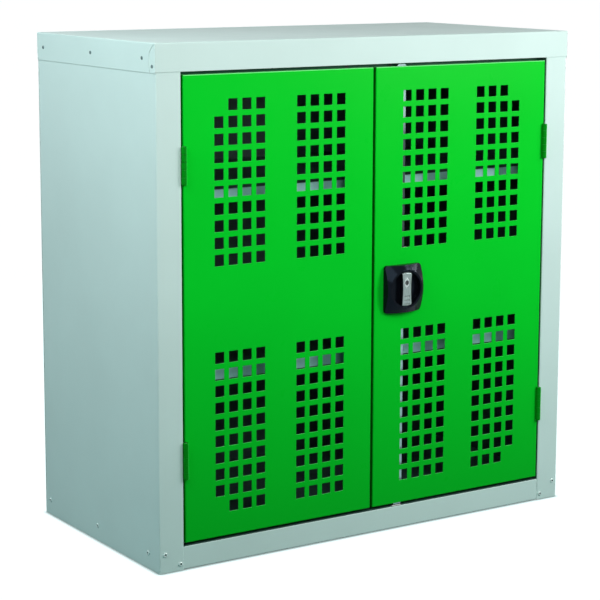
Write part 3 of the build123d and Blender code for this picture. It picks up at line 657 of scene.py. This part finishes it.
def floor_material():
    """Matt floor, white to the camera and in reflections, with a painted shadow where the case stands."""
    material, tree, shader = new_material("studio_floor", roughness=0.9, specular=0.0)
    shader.inputs["Base Color"].default_value = (*FLOOR, 1.0)
    distance = calculate_vector(tree, "LENGTH", object_coordinates(tree))["Value"]
    glow = remap(tree, distance, GLOW_DISTANCES, GLOW_STRENGTHS)
    # Painted contact shadow where the case stands
    contact_shadow = remap(tree, openness(tree, CONTACT_REACH), (0.5, 1.0), (CONTACT_SHADE, 1.0))
    glow = calculate(tree, "MULTIPLY", glow, contact_shadow)
    strength = calculate(tree, "MULTIPLY", seen_share(tree), glow)
    links = [("Color", (*WHITE, 1.0)), ("Strength", strength)]
    emission = add_node(tree, "ShaderNodeEmission", links)
    both = add_node(tree, "ShaderNodeAddShader", [(0, shader.outputs[0]), (1, emission.outputs[0])])
    tree.links.new(both.outputs[0], tree.nodes["Material Output"].inputs["Surface"])
    return material


def make_floor():
    def build(builder):
        signs = ((-1, -1), (1, -1), (1, 1), (-1, 1))
        builder.faces.new([builder.verts.new((x * FLOOR_REACH, y * FLOOR_REACH, 0)) for x, y in signs])

    floor = add_object("studio_floor", build, [floor_material()])
    floor.location.z = -FLOOR_DROP


def make_world():
    """An even sky of low strength, which the camera and reflections see as white."""
    world = bpy.data.worlds.new("studio")
    world.use_nodes = True
    bpy.context.scene.world = world
    tree = world.node_tree
    sky = blend_colours(tree, seen_share(tree), SKY, (*WHITE, 1.0))
    tree.links.new(sky, tree.nodes["Background"].inputs["Color"])


def area_lamp(name, shape, size, power):
    """An area lamp that the camera doesn't see, and the object that holds it."""
    lamp = bpy.data.lights.new(name, "AREA")
    lamp.shape = shape
    lamp.size = size
    lamp.energy = power
    holder = bpy.data.objects.new(name, lamp)
    bpy.context.scene.collection.objects.link(holder)
    holder.visible_camera = False
    return lamp, holder


def soft_box(name, place, size, power, colour):
    """A square lamp that faces the lamps' common target."""
    lamp, holder = area_lamp(name, "SQUARE", size, power)
    lamp.color = colour
    holder.location = place
    holder.rotation_euler = (Vector(LAMP_TARGET) - Vector(place)).to_track_quat("-Z", "Y").to_euler()


def strip_light(name, start, end, target, width, power):
    """A long narrow lamp between two points, which faces its target."""
    run = Vector(end) - Vector(start)
    middle = (Vector(start) + Vector(end)) / 2
    along = run.normalized()
    away = middle - Vector(target)
    behind = (away - along * away.dot(along)).normalized()
    lamp, holder = area_lamp(name, "RECTANGLE", run.length, power)
    lamp.size_y = width
    turn = Matrix((along, behind.cross(along), behind)).transposed().to_4x4()
    holder.matrix_world = Matrix.Translation(middle) @ turn


def make_lights():
    for name, place, size, power, colour in LAMPS:
        soft_box(name, place, size, power, colour)
    strip_light("lock_glint", STRIP_START, STRIP_END, LOCK_PLACE, STRIP_WIDTH, STRIP_POWER)


def make_camera():
    data = bpy.data.cameras.new("photo_camera")
    data.sensor_width = SENSOR_WIDTH
    data.lens = FOCAL_PIXELS / IMAGE_SIZE * SENSOR_WIDTH
    data.shift_y = (AXIS_ROW - IMAGE_SIZE / 2) / IMAGE_SIZE
    forward = Vector((
        math.sin(CAMERA_YAW) * math.cos(CAMERA_PITCH),
        math.cos(CAMERA_YAW) * math.cos(CAMERA_PITCH),
        math.sin(CAMERA_PITCH),
    ))
    level_right = Vector((math.cos(CAMERA_YAW), -math.sin(CAMERA_YAW), 0))
    level_up = level_right.cross(forward)
    right = level_right * math.cos(CAMERA_ROLL) + level_up * math.sin(CAMERA_ROLL)
    up = level_up * math.cos(CAMERA_ROLL) - level_right * math.sin(CAMERA_ROLL)
    turn = Matrix((right, up, -forward)).transposed().to_4x4()
    camera = bpy.data.objects.new("photo_camera", data)
    bpy.context.scene.collection.objects.link(camera)
    camera.matrix_world = Matrix.Translation(CAMERA_PLACE) @ turn
    bpy.context.scene.camera = camera


bpy.context.scene.view_settings.view_transform = "Standard"
finishes = make_finishes()
paint_nodes(finishes)
add_rivets(finishes)
make_floor()
make_world()
make_lights()
make_camera()
